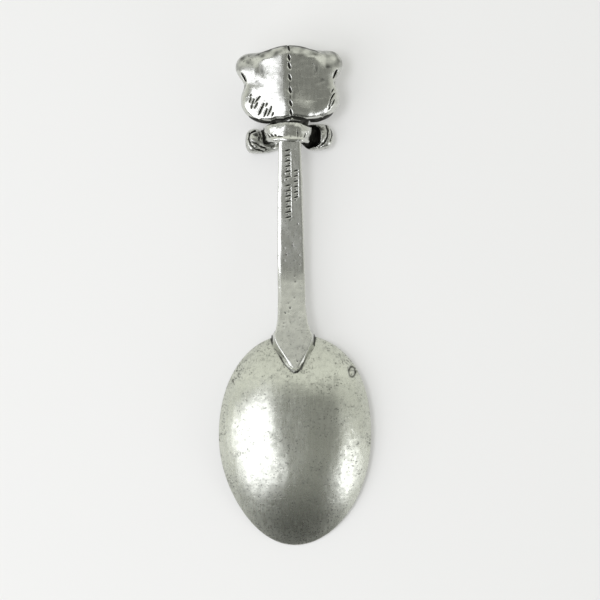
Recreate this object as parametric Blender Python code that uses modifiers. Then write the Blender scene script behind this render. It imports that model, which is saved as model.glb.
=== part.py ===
"""A souvenir spoon in cast pewter, with a teddy bear's head and a bow tie as its finial.

The spoon lies face down, as it rests on a table: the back of the bowl, stem and head faces +Z.
The long axis runs along Y, with the head at +Y and the bowl's tip at -Y, and z = 0 is the table.
Every piece is a separate casting, and the pieces meet with a narrow gap where the solder goes.
"""

import math

import bmesh
import bpy
import numpy as np
from mathutils import Matrix, Vector

MM = 0.001

# The whole spoon
LENGTH = 110.0 * MM
TIP_Y = -LENGTH / 2
SOLDER_GAP = 0.15 * MM

# Bowl: an egg-shaped dome over a rim that leans down to the tip
BOWL_HALF_WIDTH = 16.8 * MM
BOWL_TIP_REACH = 24.4 * MM
BOWL_HEEL_REACH = 22.2 * MM
BOWL_CENTRE = Vector((0.2 * MM, TIP_Y + BOWL_TIP_REACH, 0.0))
BOWL_ROLL = math.radians(-0.7)
BOWL_DEPTH = 6.6 * MM
BOWL_WALL = 1.25 * MM
BOWL_DOME_POWER = 2.6
HEEL_FULLNESS = 0.03
TIP_FULLNESS = -0.015
SIDE_FULLNESS = 0.012
RIM_HEEL_Z = 3.6 * MM
RIM_ARCH = 0.8 * MM
RIM_ROUNDING = 0.35 * MM
BOWL_SINK = 0.06 * MM

# Stem: a flat bar with chamfered edges, dipped in the middle, that ends on the bowl in a pointed heel
STEM_TOP_Y = 34.6 * MM
STEM_BEND_Y = 4.0 * MM
STEM_BEND_HALF = 3.5 * MM
STEM_COLLAR_Z = 9.5 * MM
STEM_BEND_Z = 6.1 * MM
HEEL_TIP_Y = -16.6 * MM
HEEL_TIP_Z = 9.1 * MM
STEM_FLAT_SHARE = 0.68
STEM_FRONT_TAPER = 0.94
STEM_STATIONS = 44
STEM_COLUMNS = 8
# Along the stem, in mm: (y, half width), (y, middle's x), (y, thickness) and (y, the chamfer's drop)
STEM_HALF_WIDTHS = [
    (-16.6, 0.4), (-16.2, 0.8), (-13.0, 2.5), (-9.7, 4.05), (-8.7, 4.2), (-7.4, 3.75),
    (-5.3, 3.3), (-1.0, 3.05), (6.0, 3.0), (21.0, 2.8), (34.6, 2.5),
]
STEM_MIDDLES = [(-16.6, 0.5), (-8.5, 0.05), (-2.0, -0.15), (10.0, -0.2), (34.6, -0.15)]
STEM_THICKNESSES = [(-16.6, 1.6), (-8.4, 3.9), (2.0, 2.9), (12.0, 2.5), (34.6, 2.3)]
STEM_CHAMFERS = [(-16.6, 0.25), (-9.7, 0.45), (-4.0, 0.7), (34.6, 0.7)]

# Tang: the stem's narrow end, which stands inside the neck
TANG_LENGTH = 6.4 * MM
TANG_HALF_WIDTH = 1.5 * MM
TANG_THICKNESS = 1.5 * MM

# Head: two hollow half shells that meet at the parting plane
HEAD_CENTRE = Vector((0.0, 46.38 * MM, 0.0))
HEAD_ROLL = math.radians(1.3)
PARTING_Z = 7.2 * MM
HEAD_BACK_HEIGHT = 5.4 * MM
HEAD_FACE_DEPTH = 4.5 * MM
HEAD_WALL = 1.4 * MM
HEAD_ROUNDING = (3.4, 0.5)
# (angle from +X in degrees, radius in mm) for the right half of the head's outline
HEAD_OUTLINE = [
    (-90, 8.35), (-72, 8.8), (-52, 10.55), (-38, 11.45), (-24, 11.8), (-14, 11.25),
    (2, 9.9), (22, 9.8), (45, 9.65), (62, 8.9), (90, 8.62),
]
MUZZLE_CENTRE = Vector((0.0, -2.0 * MM))
MUZZLE_REACH = Vector((5.2 * MM, 4.4 * MM))
MUZZLE_HEIGHT = 2.6 * MM

# Ears: round dished lobes that straddle the head's outline
EAR_CENTRE = Vector((8.65 * MM, 4.2 * MM, 8.0 * MM))
EAR_RADIUS = 3.15 * MM
EAR_BACK_HEIGHT = 2.3 * MM
EAR_FRONT_HEIGHT = 1.9 * MM
EAR_DISH = 1.1 * MM

# Neck, and the ribbon collar round it
NECK_TOP_HALF_WIDTH = 5.1 * MM
NECK_BOTTOM_HALF_WIDTH = 3.6 * MM
NECK_HALF_DEPTH = 2.95 * MM
NECK_ROUNDING = 0.4 * MM
NECK_X = -0.25 * MM
NECK_TOP_Y = 40.9 * MM
NECK_BOTTOM_Y = 34.9 * MM
COLLAR_MIDDLE_Y = 35.3 * MM
COLLAR_HALF_LENGTH = 1.4 * MM
COLLAR_THICKNESS = 0.9 * MM
COLLAR_CREST_RISE = 1.45 * MM
COLLAR_SLOPE = -0.04

# Bow tie, in front of the collar
BOW_CENTRE = Vector((-0.2 * MM, 34.55 * MM, 0.0))
BOW_ROLL = math.radians(2.0)
KNOT_HALF_SIZE = Vector((1.9 * MM, 2.0 * MM, 1.3 * MM))
KNOT_Z = 1.75 * MM
LOOP_ROOT_X = 2.15 * MM
LOOP_END_X = 9.75 * MM
LOOP_RISE = 0.5 * MM
LOOP_HALF_HEIGHTS = {"bow_loop_left": 2.65 * MM, "bow_loop_right": 2.95 * MM}
LOOP_HALF_DEPTH = 2.65 * MM
LOOP_ROOT_SHARE = 0.42

PEWTER = {"colour": (0.60, 0.59, 0.56, 1.0), "metallic": 1.0, "roughness": 0.32}
DARK_PEWTER = {"colour": (0.42, 0.41, 0.38, 1.0), "metallic": 1.0, "roughness": 0.42}


def clear_scene():
    for obj in list(bpy.data.objects):
        bpy.data.objects.remove(obj)


def collection(name):
    made = bpy.data.collections.new(name)
    bpy.context.scene.collection.children.link(made)
    return made


def material(name, look):
    made = bpy.data.materials.new(name)
    made.use_nodes = True
    shader = made.node_tree.nodes["Principled BSDF"]
    shader.inputs["Base Color"].default_value = look["colour"]
    shader.inputs["Metallic"].default_value = look["metallic"]
    shader.inputs["Roughness"].default_value = look["roughness"]
    made.diffuse_color = look["colour"]
    return made


def curve_through(points):
    """A smooth function through (position, value) points, which never overshoots between them."""
    at, value = np.array(points, float).T
    step = np.diff(value) / np.diff(at)
    slope = np.zeros(len(at))
    same_way = step[:-1] * step[1:] > 0
    mean = np.zeros(len(step) - 1)
    mean[same_way] = 2 / (1 / step[:-1][same_way] + 1 / step[1:][same_way])
    slope[1:-1] = mean

    def read(x):
        i = int(np.clip(np.searchsorted(at, x) - 1, 0, len(step) - 1))
        width = at[i + 1] - at[i]
        t = min(1.0, max(0.0, (x - at[i]) / width))
        start = (1 + 2 * t) * (1 - t) ** 2 * value[i] + t * (1 - t) ** 2 * width * slope[i]
        end = t * t * (3 - 2 * t) * value[i + 1] - t * t * (1 - t) * width * slope[i + 1]
        return start + end

    return read


def millimetre_curve(points):
    return curve_through([(at * MM, value * MM) for at, value in points])


def mesh_object(name, mesh, where):
    obj = bpy.data.objects.new(name, mesh)
    where.objects.link(obj)
    return obj


def turned(name, profile, steps, where):
    """A closed shape turned about Z from (radius, height) points, as a plain mesh ready to be shaped."""
    mesh = bpy.data.meshes.new(name)
    edges = [(i, i + 1) for i in range(len(profile) - 1)]
    mesh.from_pydata([(r, 0, z) for r, z in profile], edges, [])
    obj = mesh_object(name, mesh, where)
    screw = obj.modifiers.new("turn", "SCREW")
    screw.steps = screw.render_steps = steps
    screw.use_merge_vertices = True
    screw.merge_threshold = 0.00005
    graph = bpy.context.evaluated_depsgraph_get()
    obj.data = bpy.data.meshes.new_from_object(obj.evaluated_get(graph))
    obj.modifiers.clear()
    bpy.data.meshes.remove(mesh)
    return obj


def ball(name, steps, rings, where):
    """A ball of radius 1 about the origin."""
    bm = bmesh.new()
    bmesh.ops.create_uvsphere(bm, u_segments=steps, v_segments=rings, radius=1)
    mesh = bpy.data.meshes.new(name)
    bm.to_mesh(mesh)
    bm.free()
    return mesh_object(name, mesh, where)


def block(name, columns, rows, where):
    """A box from -1 to 1 each way, cut into columns along X and rows along Y."""
    bm = bmesh.new()
    bmesh.ops.create_cube(bm, size=2)
    for axis, cuts in ((0, columns - 1), (1, rows - 1)):
        along = [e for e in bm.edges if abs(e.verts[0].co[axis] - e.verts[1].co[axis]) > 1]
        if cuts:
            bmesh.ops.subdivide_edges(bm, edges=along, cuts=cuts, use_grid_fill=True)
    mesh = bpy.data.meshes.new(name)
    bm.to_mesh(mesh)
    bm.free()
    return mesh_object(name, mesh, where)


def shape(obj, rule, finish=None):
    """Moves each vertex to where the rule puts it, then shades the piece and gives it its material."""
    for vertex in obj.data.vertices:
        vertex.co = rule(vertex.co.copy())
    obj.data.shade_smooth()
    obj.data.set_sharp_from_angle(angle=math.radians(40))
    if finish:
        obj.data.materials.append(finish)
    obj.data.update()
    return obj


def combine(obj, other, operation):
    """Adds the other shape to the piece (UNION) or takes it away (DIFFERENCE), and hides the other shape."""
    other.hide_render = True
    other.display_type = "WIRE"
    boolean = obj.modifiers.new(other.name, "BOOLEAN")
    boolean.operation = operation
    boolean.solver = "EXACT"
    boolean.object = other


def shell_profile(rings, rim_levels):
    """The half section of a cup: its outer skin at height 1, its rim at radius 1, and its inner skin at height 0."""
    radii = [i / rings for i in range(rings + 1)]
    rim = [(1.0, level) for level in rim_levels]
    return [(r, 1.0) for r in radii] + rim + [(r, 0.0) for r in reversed(radii)]


def polar(point):
    return math.hypot(point.x, point.y), math.atan2(point.y, point.x)


def rolled(point, centre, angle):
    """The point turned about the vertical line through the centre."""
    return Matrix.Rotation(angle, 3, "Z") @ (point - centre) + centre


# Bowl


def rim_z(y):
    """Height of the rim's plane: it leans from the heel down to the tip, and arches a little between them."""
    length = BOWL_TIP_REACH + BOWL_HEEL_REACH
    along = (y - TIP_Y) / length
    return RIM_HEEL_Z * along + RIM_ARCH * (1 - (2 * along - 1) ** 2) - BOWL_SINK


def bowl_skin(share, angle, inset):
    """A point of the bowl's dome, at a share of the way from its crown to its rim, inset from the outer skin."""
    reach = BOWL_HEEL_REACH if math.sin(angle) > 0 else BOWL_TIP_REACH
    fullness = HEEL_FULLNESS if math.sin(angle) > 0 else TIP_FULLNESS
    full = 1 + (fullness + SIDE_FULLNESS * math.cos(angle)) * math.sin(2 * angle) ** 2
    x = share * (BOWL_HALF_WIDTH * full - inset) * math.cos(angle)
    y = share * (reach * full - inset) * math.sin(angle)
    placed = rolled(BOWL_CENTRE + Vector((x, y, 0)), BOWL_CENTRE, BOWL_ROLL)
    dome = max(0.0, 1 - share**BOWL_DOME_POWER)
    placed.z = rim_z(placed.y) + RIM_ROUNDING + (BOWL_DEPTH - inset) * dome
    return placed


def shell_point(skin, wall, point):
    """Where a point of a cup's unit section goes, between the outer skin and the inner one."""
    share, angle = polar(point)
    outer, inner = skin(share, angle, 0.0), skin(share, angle, wall)
    return inner.lerp(outer, point.z)


def bowl_rule(point):
    placed = shell_point(bowl_skin, BOWL_WALL, point)
    placed.z -= RIM_ROUNDING * 4 * point.z * (1 - point.z)
    return placed


def make_bowl(where, finish):
    profile = shell_profile(rings=11, rim_levels=(0.8, 0.5, 0.2))
    return shape(turned("bowl", profile, 56, where), bowl_rule, finish)


def bowl_seat(where):
    """A solid dome a solder gap larger than the bowl, to cut the stem's seat from."""

    def rule(point):
        share, angle = polar(point)
        placed = bowl_skin(share, angle, -SOLDER_GAP)
        if point.z < 0.5:
            placed.z = -5 * MM
        return placed

    return shape(turned("bowl_seat", shell_profile(11, ()), 56, where), rule)


# Stem


def stem_back_z(y):
    """Height of the stem's back: it falls from the collar to the bend, and rises from there to the heel's point."""
    upper = (STEM_COLLAR_Z - STEM_BEND_Z) / (STEM_TOP_Y - STEM_BEND_Y)
    lower = (HEEL_TIP_Z - STEM_BEND_Z) / (HEEL_TIP_Y - STEM_BEND_Y)
    past = y - STEM_BEND_Y
    blend = min(1.0, max(-1.0, past / STEM_BEND_HALF))
    mean, half_turn = (upper + lower) / 2, (upper - lower) / 2
    if abs(past) >= STEM_BEND_HALF:
        return STEM_BEND_Z + past * (mean + half_turn * blend)
    return STEM_BEND_Z + mean * past + half_turn * (past**2 / STEM_BEND_HALF + STEM_BEND_HALF) / 2


def stem_column(u):
    """Spreads the stem's columns so that two of them stand at the chamfers' upper edges."""
    quarter = 2 / STEM_COLUMNS
    outer = 1 - quarter
    if abs(u) <= outer:
        return u / outer * STEM_FLAT_SHARE
    return math.copysign(STEM_FLAT_SHARE + (abs(u) - outer) / quarter * (1 - STEM_FLAT_SHARE), u)


def stem_rule():
    half_width, middle = millimetre_curve(STEM_HALF_WIDTHS), millimetre_curve(STEM_MIDDLES)
    thickness, drop = millimetre_curve(STEM_THICKNESSES), millimetre_curve(STEM_CHAMFERS)

    def rule(point):
        y = HEEL_TIP_Y + (point.y + 1) / 2 * (STEM_TOP_Y - HEEL_TIP_Y)
        u = stem_column(point.x)
        back = stem_back_z(y)
        if point.z < 0:
            across = middle(y) + u * half_width(y) * STEM_FRONT_TAPER
            return Vector((across, y, back - thickness(y)))
        edge = max(0.0, abs(u) - STEM_FLAT_SHARE) / (1 - STEM_FLAT_SHARE)
        return Vector((middle(y) + u * half_width(y), y, back - drop(y) * edge))

    return rule


def tang_rule(point):
    """The tang grows out of the stem's end, level with it."""
    start = STEM_TOP_Y - 1 * MM
    y = start + (point.y + 1) / 2 * (TANG_LENGTH + 1 * MM)
    middle = stem_back_z(STEM_TOP_Y) - 1.2 * MM
    return Vector((point.x * TANG_HALF_WIDTH, y, middle + point.z * TANG_THICKNESS / 2))


def make_stem(where, cutters, finish):
    """The bar and its tang in one casting, with its heel cut to lie on the bowl's back."""
    stem = shape(block("stem", STEM_COLUMNS, STEM_STATIONS, where), stem_rule(), finish)
    combine(stem, shape(block("tang", 1, 1, cutters), tang_rule), "UNION")
    combine(stem, bowl_seat(cutters), "DIFFERENCE")
    return stem


# Head


def head_radius():
    """The head's outline radius at any angle, the same on both sides."""
    right = [(math.radians(a), r * MM) for a, r in HEAD_OUTLINE]
    read = curve_through(right)

    def radius(angle):
        folded = math.asin(max(-1.0, min(1.0, math.sin(angle))))
        return read(folded)

    return radius


def dome(share):
    power, root = HEAD_ROUNDING
    return max(0.0, 1 - share**power) ** root


def muzzle_bump(x, y):
    across = (x - MUZZLE_CENTRE.x) / MUZZLE_REACH.x
    along = (y - MUZZLE_CENTRE.y) / MUZZLE_REACH.y
    reach = math.hypot(across, along)
    return MUZZLE_HEIGHT * math.cos(math.pi / 2 * min(1.0, reach)) ** 2


def head_skin(side, radius):
    """The head's skin towards +Z (side 1, the back) or -Z (side -1, the face), inset from the outside."""
    height = HEAD_BACK_HEIGHT if side > 0 else HEAD_FACE_DEPTH

    def skin(share, angle, inset):
        reach = share * (radius(angle) - inset)
        x, y = reach * math.cos(angle), reach * math.sin(angle)
        rise = (height - inset) * dome(share)
        if side < 0:
            rise += muzzle_bump(x, y)
        return Vector((x, y, side * rise))

    return skin


def placed_on_head(point):
    """From the head's own frame, about the parting plane's middle, to the spoon's."""
    centre = HEAD_CENTRE + Vector((0, 0, PARTING_Z))
    return rolled(centre + point, centre, HEAD_ROLL)


def head_half_rule(side, radius):
    skin = head_skin(side, radius)

    def rule(point):
        if side < 0:
            point.x = -point.x
        placed = shell_point(skin, HEAD_WALL, point)
        placed.z += side * SOLDER_GAP / 2
        return placed_on_head(placed)

    return rule


def solid_head(name, swell, radius, where):
    """The whole head as one solid, swollen by a gap, to cut the ears' seats from."""
    back, face = head_skin(1, radius), head_skin(-1, radius)

    def rule(point):
        share, angle = polar(point)
        skin = back if point.z >= 0 else face
        return placed_on_head(skin(min(1.0, share), angle, -swell))

    return shape(ball(name, 40, 24, where), rule)


def make_head(where, cutters, finish):
    """The back and the face as two shells, each notched for the neck."""
    radius = head_radius()
    profile = shell_profile(rings=9, rim_levels=())
    back = shape(turned("head_back", profile, 44, where), head_half_rule(1, radius), finish)
    face = shape(turned("head_front", profile, 44, where), head_half_rule(-1, radius), finish)
    hole = neck_shape("neck_hole", SOLDER_GAP, cutters)
    for half in (back, face):
        combine(half, hole, "DIFFERENCE")
    return solid_head("head_seat", SOLDER_GAP, radius, cutters)


# Ears


def ear_rule(side):
    """A lobe with a domed back and a dished front, from a ball."""

    def rule(point):
        share = min(1.0, math.hypot(point.x, point.y))
        if point.z >= 0:
            rise = point.z * EAR_BACK_HEIGHT
        else:
            rise = point.z * EAR_FRONT_HEIGHT + EAR_DISH * (1 - share**2) ** 2
        centre = Vector((side * EAR_CENTRE.x, EAR_CENTRE.y, EAR_CENTRE.z - PARTING_Z))
        spread = Vector((point.x * EAR_RADIUS, point.y * EAR_RADIUS, rise))
        return placed_on_head(centre + spread)

    return rule


def make_ears(where, head_seat, finish):
    for side, name in ((-1, "ear_left"), (1, "ear_right")):
        ear = shape(ball(name, 28, 14, where), ear_rule(side), finish)
        combine(ear, head_seat, "DIFFERENCE")


# Neck and collar


def neck_half_width(y):
    """The neck tapers from the head down to the stem."""
    share = (y - NECK_BOTTOM_Y) / (NECK_TOP_Y - NECK_BOTTOM_Y)
    return NECK_BOTTOM_HALF_WIDTH + share * (NECK_TOP_HALF_WIDTH - NECK_BOTTOM_HALF_WIDTH)


def neck_shape(name, swell, where, finish=None):
    """The neck's oval plug, along Y, with its end edges rounded."""

    def rule(point):
        share, angle = polar(point)
        top, bottom = NECK_TOP_Y + swell, NECK_BOTTOM_Y - swell
        y = bottom + NECK_ROUNDING + point.z * (top - bottom - 2 * NECK_ROUNDING)
        if share < 0.99:
            y += math.copysign(NECK_ROUNDING, point.z - 0.5)
        across = share * (neck_half_width(y) + swell) * math.cos(angle)
        deep = share * (NECK_HALF_DEPTH + swell) * math.sin(angle)
        return Vector((NECK_X - across, y, PARTING_Z + deep))

    profile = [(0, 1), (0.88, 1), (1, 1), (1, 0), (0.88, 0), (0, 0)]
    return shape(turned(name, profile, 32, where), rule, finish)


def make_neck(where, cutters, finish):
    neck = neck_shape("neck", 0.0, where, finish)

    def socket_rule(point):
        return tang_rule(point) + point * SOLDER_GAP

    combine(neck, shape(block("tang_socket", 1, 1, cutters), socket_rule), "DIFFERENCE")
    return neck


def collar_rule(point):
    """A band round the neck. The unit ring has radius 1 inside and 2 outside, and runs from -1 to 1."""
    share, angle = polar(point)
    rise = COLLAR_CREST_RISE * max(0.0, math.sin(angle)) ** 2
    y = COLLAR_MIDDLE_Y + point.z * COLLAR_HALF_LENGTH + rise * (point.z + 1) / 2
    out = SOLDER_GAP + (share - 1) * COLLAR_THICKNESS * (1 - 0.25 * point.z**2)
    across = (neck_half_width(y) + out) * math.cos(angle)
    deep = (NECK_HALF_DEPTH + out) * math.sin(angle)
    return Vector((NECK_X - across, y - COLLAR_SLOPE * across, PARTING_Z + deep))


def make_collar(where, finish):
    """A ring, whose profile is closed, so its turned ends are welded to each other."""
    outer = [(2, level) for level in (1, 0.6, 0, -0.6, -1)]
    inner = [(1, level) for level in (-1, 0, 1)]
    profile = outer + inner + outer[:1]
    ring = turned("collar", profile, 40, where)
    bm = bmesh.new()
    bm.from_mesh(ring.data)
    bmesh.ops.remove_doubles(bm, verts=bm.verts, dist=0.0001)
    bm.to_mesh(ring.data)
    bm.free()
    return shape(ring, collar_rule, finish)


# Bow tie


def loop_rule(side, half_height):
    """A plump ribbon loop, narrow at the knot and round at its outer end, from a ball."""

    def rule(point):
        along = (point.x * side + 1) / 2
        x = LOOP_ROOT_X + along * (LOOP_END_X - LOOP_ROOT_X)
        plump = LOOP_ROOT_SHARE + (1 - LOOP_ROOT_SHARE) * math.sin(math.pi / 2 * min(1, 1.5 * along))
        y = LOOP_RISE * (2 * along - 1) + point.y * half_height * plump
        z = LOOP_HALF_DEPTH + point.z * LOOP_HALF_DEPTH * plump
        placed = BOW_CENTRE + Vector((side * x, y, z))
        return rolled(placed, BOW_CENTRE, BOW_ROLL)

    return rule


def knot_rule(point):
    """A block with its faces bulged and its corners drawn in."""
    pull = 1 - 0.16 * (point.x**2 + point.y**2 + point.z**2 - 1) / 2
    size = Vector(a * b * pull for a, b in zip(point, KNOT_HALF_SIZE, strict=True))
    return rolled(BOW_CENTRE + Vector((0, 0, KNOT_Z)) + size, BOW_CENTRE, BOW_ROLL)


def make_bow(where, finish):
    shape(block("bow_knot", 4, 4, where), knot_rule, finish)
    for side, name in ((-1, "bow_loop_left"), (1, "bow_loop_right")):
        rule = loop_rule(side, LOOP_HALF_HEIGHTS[name])
        shape(ball(name, 24, 14, where), rule, finish)


def build():
    clear_scene()
    spoon = collection("souvenir_spoon")
    cutters = collection("cutters")
    pewter = material("pewter", PEWTER)
    dark = material("dark_pewter", DARK_PEWTER)
    make_bowl(spoon, pewter)
    make_stem(spoon, cutters, pewter)
    head_seat = make_head(spoon, cutters, pewter)
    make_ears(spoon, head_seat, pewter)
    make_neck(spoon, cutters, dark)
    make_collar(spoon, pewter)
    make_bow(spoon, pewter)


build()
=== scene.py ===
"""The looks of the cast pewter souvenir spoon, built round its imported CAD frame.

Most pieces are sculpted as fields: a number at each point of a fine block of space, in
millimetres, which is below zero inside the piece and close to the distance from its skin. Fields
are joined, cut and engraved, and then meshed. The large smooth bowl is a warped grid instead.
"""

import itertools
import math

import bmesh
import bpy
import numpy as np
import openvdb
from mathutils import Matrix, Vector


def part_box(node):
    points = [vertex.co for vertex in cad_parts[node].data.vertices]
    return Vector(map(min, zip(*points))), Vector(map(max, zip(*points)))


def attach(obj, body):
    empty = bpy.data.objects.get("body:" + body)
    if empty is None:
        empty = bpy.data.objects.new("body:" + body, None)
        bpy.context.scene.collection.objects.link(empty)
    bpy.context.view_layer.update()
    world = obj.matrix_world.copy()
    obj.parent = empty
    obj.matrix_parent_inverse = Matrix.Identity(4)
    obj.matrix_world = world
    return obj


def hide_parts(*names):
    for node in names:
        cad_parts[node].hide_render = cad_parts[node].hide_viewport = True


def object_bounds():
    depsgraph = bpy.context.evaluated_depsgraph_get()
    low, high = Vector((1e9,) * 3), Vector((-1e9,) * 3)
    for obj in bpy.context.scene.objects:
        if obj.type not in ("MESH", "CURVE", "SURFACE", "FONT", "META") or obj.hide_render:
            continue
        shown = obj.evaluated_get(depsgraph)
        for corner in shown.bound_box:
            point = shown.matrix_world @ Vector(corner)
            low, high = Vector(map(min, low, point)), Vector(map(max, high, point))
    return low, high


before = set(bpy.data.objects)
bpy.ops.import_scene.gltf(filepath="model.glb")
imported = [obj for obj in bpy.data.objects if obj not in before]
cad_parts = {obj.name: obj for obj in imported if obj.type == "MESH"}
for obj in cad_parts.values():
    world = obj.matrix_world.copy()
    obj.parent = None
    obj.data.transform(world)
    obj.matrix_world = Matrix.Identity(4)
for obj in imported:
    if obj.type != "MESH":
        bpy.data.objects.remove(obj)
CAD_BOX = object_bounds()

MM = 0.001


def cad_box(node):
    """A CAD node's lowest and highest corners, in millimetres."""
    low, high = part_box(node)
    return np.array(low) / MM, np.array(high) / MM


BOWL_LOW, BOWL_HIGH = cad_box("bowl")
STEM_LOW, STEM_HIGH = cad_box("stem")
BACK_LOW, BACK_HIGH = cad_box("head_back")
_, FACE_HIGH = cad_box("head_front")
COLLAR_LOW, COLLAR_HIGH = cad_box("collar")
NECK_LOW, NECK_HIGH = cad_box("neck")
KNOT_LOW, KNOT_HIGH = cad_box("bow_knot")

# ---- camera

VIEW_WIDTH = 131.87 * MM
VIEW_CENTRE = (1.66 * MM, -0.96 * MM)
VIEW_ROLL = math.radians(0.71)
CAMERA_HEIGHT = 1.5
SENSOR = 36.0
CLIP_START, CLIP_END = 0.01, 10.0


def make_camera():
    """Straight above the spoon, far enough back that its near and far parts keep their sizes."""
    data = bpy.data.cameras.new("camera")
    data.sensor_width = SENSOR
    data.lens = SENSOR * CAMERA_HEIGHT / VIEW_WIDTH
    data.clip_start, data.clip_end = CLIP_START, CLIP_END
    camera = bpy.data.objects.new("camera", data)
    middle = (CAD_BOX[0][2] + CAD_BOX[1][2]) / 2
    camera.location = (*VIEW_CENTRE, middle + CAMERA_HEIGHT)
    camera.rotation_euler = (0, 0, -VIEW_ROLL)
    bpy.context.scene.collection.objects.link(camera)
    bpy.context.scene.camera = camera


make_camera()

# ---- fields

LEAST_SLOPE = 1e-4
STROKE_TAPER = 0.55
RIPPLE_WAVES = 16


class Block:
    """A block of space with a sample every step, and the coordinates of its samples."""

    def __init__(self, low, high, step):
        self.low, self.step = np.array(low, float), step
        counts = np.ceil((np.array(high) - self.low) / step).astype(int) + 1
        axes = [self.low[i] + step * np.arange(counts[i], dtype=np.float32) for i in range(3)]
        axes = [axis.astype(np.float32) for axis in axes]
        self.axes = np.meshgrid(*axes, indexing="ij", sparse=True)

    def sample(self, field, points):
        """The field's value at points between the samples."""
        at = (points - self.low) / self.step
        corner = np.clip(at.astype(int), 0, np.array(field.shape) - 2)
        share = at - corner
        total = np.zeros(len(points))
        for step in itertools.product((0, 1), repeat=3):
            weight = np.prod(np.where(step, share, 1 - share), axis=1)
            i, j, k = (corner + step).T
            total += weight * field[i, j, k]
        return total


def soft_max(a, b, reach):
    """The larger of two fields, rounded off where they cross: the part that both shapes share."""
    mix = np.clip(0.5 + 0.5 * (a - b) / reach, 0, 1)
    return b + (a - b) * mix + reach * mix * (1 - mix)


def soft_min(a, b, reach):
    """The smaller of two fields, filleted where they cross: both shapes together."""
    return -soft_max(-a, -b, reach)


def smooth_step(value, low, high):
    share = np.clip((value - low) / (high - low), 0, 1)
    return share * share * (3 - 2 * share)


def from_round_skin(unit, radii):
    """Nearly the distance from a round skin. unit holds each coordinate as a share of its axis's radius."""
    length = np.sqrt(sum(u * u for u in unit))
    slope = np.sqrt(sum((u / r) ** 2 for u, r in zip(unit, radii, strict=True)))
    return length * (length - 1) / np.maximum(slope, LEAST_SLOPE)


def bell(value):
    """1 at zero, falling off smoothly on both sides."""
    return np.exp(-(value**2))


def ellipsoid(x, y, z, centre, radii):
    """Nearly the distance from an ellipsoid's skin."""
    unit = [(p - c) / r for p, c, r in zip((x, y, z), centre, radii, strict=True)]
    return from_round_skin(unit, radii)


def from_segment(x, y, start, end):
    """How far along the line from start to end each point lies, from 0 to 1, and how far off it is."""
    along = np.array(end) - np.array(start)
    share = np.clip(((x - start[0]) * along[0] + (y - start[1]) * along[1]) / (along @ along), 0, 1)
    return share, np.hypot(x - start[0] - share * along[0], y - start[1] - share * along[1])


def stroke(x, y, start, end, width, depth):
    """An engraved stroke: the depth at each point, deepest half way along the line from start to end."""
    share, away = from_segment(x, y, start, end)
    taper = 1 - STROKE_TAPER * np.abs(2 * share - 1) ** 2
    return depth * taper * bell(away / (width / 2 * taper))


def engraved(x, y, strokes, relief=0.0):
    """Adds strokes to a relief, each given as (start, end, width, depth). Below zero, they stand proud."""
    return sum((stroke(x, y, *each) for each in strokes), relief)


def blurred(field, reach):
    """The field's average over a box that reaches that many samples each way."""
    for axis in range(3):
        width = [(0, 0)] * 3
        width[axis] = (reach + 1, reach)
        sums = np.cumsum(np.pad(field, width, mode="edge"), axis=axis, dtype=np.float64)
        ahead, behind = [slice(None)] * 3, [slice(None)] * 3
        ahead[axis], behind[axis] = slice(2 * reach + 1, None), slice(None, -(2 * reach + 1))
        field = ((sums[tuple(ahead)] - sums[tuple(behind)]) / (2 * reach + 1)).astype(np.float32)
    return field


def ripple(points, wavelength, seed):
    """Smooth random unevenness, mostly from -1 to 1, made of plane waves."""
    random = np.random.default_rng(seed)
    total = 0.0
    for _ in range(RIPPLE_WAVES):
        direction = random.normal(size=3)
        direction *= 2 * math.pi / (np.linalg.norm(direction) * wavelength * random.uniform(0.7, 1.6))
        total = total + np.sin(points @ direction + random.uniform(0, 2 * math.pi))
    return total / math.sqrt(RIPPLE_WAVES)


def unevenness(points, *waves):
    """Several ripples on each other, each given as (height, wavelength, seed)."""
    return sum(height * ripple(points, wavelength, seed) for height, wavelength, seed in waves)


def pin_holes(x, y, seed, count, places, sizes, depths):
    """The depth at each point of one round pin hole after another, at random places."""
    random = np.random.default_rng(seed)
    for _ in range(count):
        px, py = (random.uniform(*reach) for reach in places)
        size, deep = random.uniform(*sizes), random.uniform(*depths)
        yield deep * np.exp(-(((x - px) ** 2 + (y - py) ** 2) / size**2))


def crumple(points, wavelength, seed):
    """A net of soft creases, from 0 between them to 1 along them."""
    return np.maximum(0, 1 - 1.6 * np.abs(ripple(points, wavelength, seed))) ** 2


def trail(x, y, corners, width, depth):
    """An engraved line through several corners."""
    deepest = 0.0 * x * y
    for start, end in itertools.pairwise(corners):
        _, away = from_segment(x, y, start, end)
        deepest = np.maximum(deepest, depth * bell(2 * away / width))
    return deepest


def curve_through(points):
    """A smooth function through (position, value) points, which never overshoots between them."""
    at, value = np.array(points, float).T
    step = np.diff(value) / np.diff(at)
    slope = np.zeros(len(at))
    same_way = step[:-1] * step[1:] > 0
    slope[1:-1][same_way] = 2 / (1 / step[:-1][same_way] + 1 / step[1:][same_way])

    def read(x):
        x = np.clip(x, at[0], at[-1])
        i = np.clip(np.searchsorted(at, x) - 1, 0, len(step) - 1)
        width = at[i + 1] - at[i]
        t = (x - at[i]) / width
        start = (1 + 2 * t) * (1 - t) ** 2 * value[i] + t * (1 - t) ** 2 * width * slope[i]
        return start + t * t * (3 - 2 * t) * value[i + 1] - t * t * (1 - t) * width * slope[i + 1]

    return read


# ---- meshes

FINE_REACH, FINE_SCALE = 0.4, 0.05
BROAD_REACH, BROAD_SCALE = 1.3, 0.16
WEAR_LIMIT = 1.5


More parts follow.
